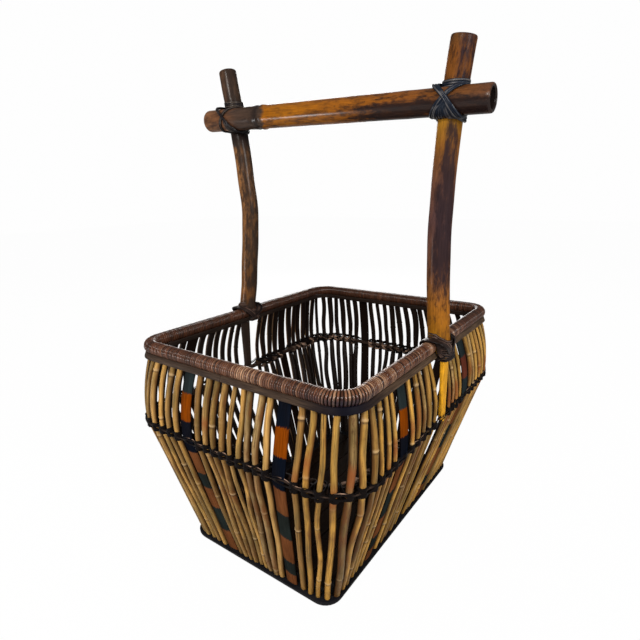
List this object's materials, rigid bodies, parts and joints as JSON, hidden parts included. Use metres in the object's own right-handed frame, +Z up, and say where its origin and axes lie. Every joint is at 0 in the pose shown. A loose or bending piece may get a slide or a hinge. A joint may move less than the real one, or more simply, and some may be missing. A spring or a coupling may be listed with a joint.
{
  "type": "bamboo basket with handle",
  "caption": "Tall open basket of upright bamboo canes and flat staves between a bound rim, a waist hoop and a smaller base, with a lashed pole handle.",
  "frame": {"origin": "centre of the underside, on the middle floor batten", "axes": "+Z up; X along the handle's crossbar, +X towards the thicker post; Y along the long way of the mouth"},
  "size_m": [0.375, 0.406, 0.5803],
  "materials": {
    "cane": "straw-coloured bamboo skin, satin",
    "stave": "smoked bamboo in dark and orange stretches, satin",
    "rim_wrap": "red-brown lacquered cane strip",
    "rim_band": "dark brown split bamboo, satin",
    "core": "dark cane, hidden",
    "base_band": "black lacquered split bamboo",
    "binding": "near-black cane, satin",
    "lashing": "near-black vine, satin",
    "post": "golden-brown smoked bamboo pole, glossy",
    "dark_post": "dark brown smoked bamboo pole, glossy",
    "crossbar": "golden-brown smoked bamboo pole, glossy",
    "floor": "dark split bamboo, matt"
  },
  "bodies": {
    "root": {"base_band_inner": "base_band", "base_band_outer": "base_band", "floor": "floor", "canes_back": "cane", "canes_back_left_corner": "cane", "canes_back_right_corner": "cane", "canes_front": "cane", "canes_front_left_corner": "cane", "canes_front_right_corner": "cane", "canes_left_fore": "cane", "canes_left_rear": "cane", "canes_right_fore": "cane", "canes_right_rear": "cane", "stave_back_first": "stave", "stave_back_second": "stave", "stave_front_first": "stave", "stave_front_second": "stave", "stave_left_first": "stave", "stave_left_second": "stave", "stave_right_first": "stave", "stave_right_second": "stave", "waist_hoop": "binding", "rim_core": "core", "rim_wrap_front": "rim_wrap", "rim_wrap_back": "rim_wrap", "rim_band_outer": "rim_band", "rim_band_inner": "rim_band", "post_left": "dark_post", "post_right": "post", "crossbar": "crossbar", "lashing_crossbar_left_under": "lashing", "lashing_crossbar_left_over": "lashing", "lashing_crossbar_left_collar": "lashing", "lashing_crossbar_right_under": "lashing", "lashing_crossbar_right_over": "lashing", "lashing_crossbar_right_collar": "lashing", "lashing_rim_left_under": "lashing", "lashing_rim_left_over": "lashing", "lashing_rim_right_under": "lashing", "lashing_rim_right_over": "lashing"}
  },
  "joints": []
}
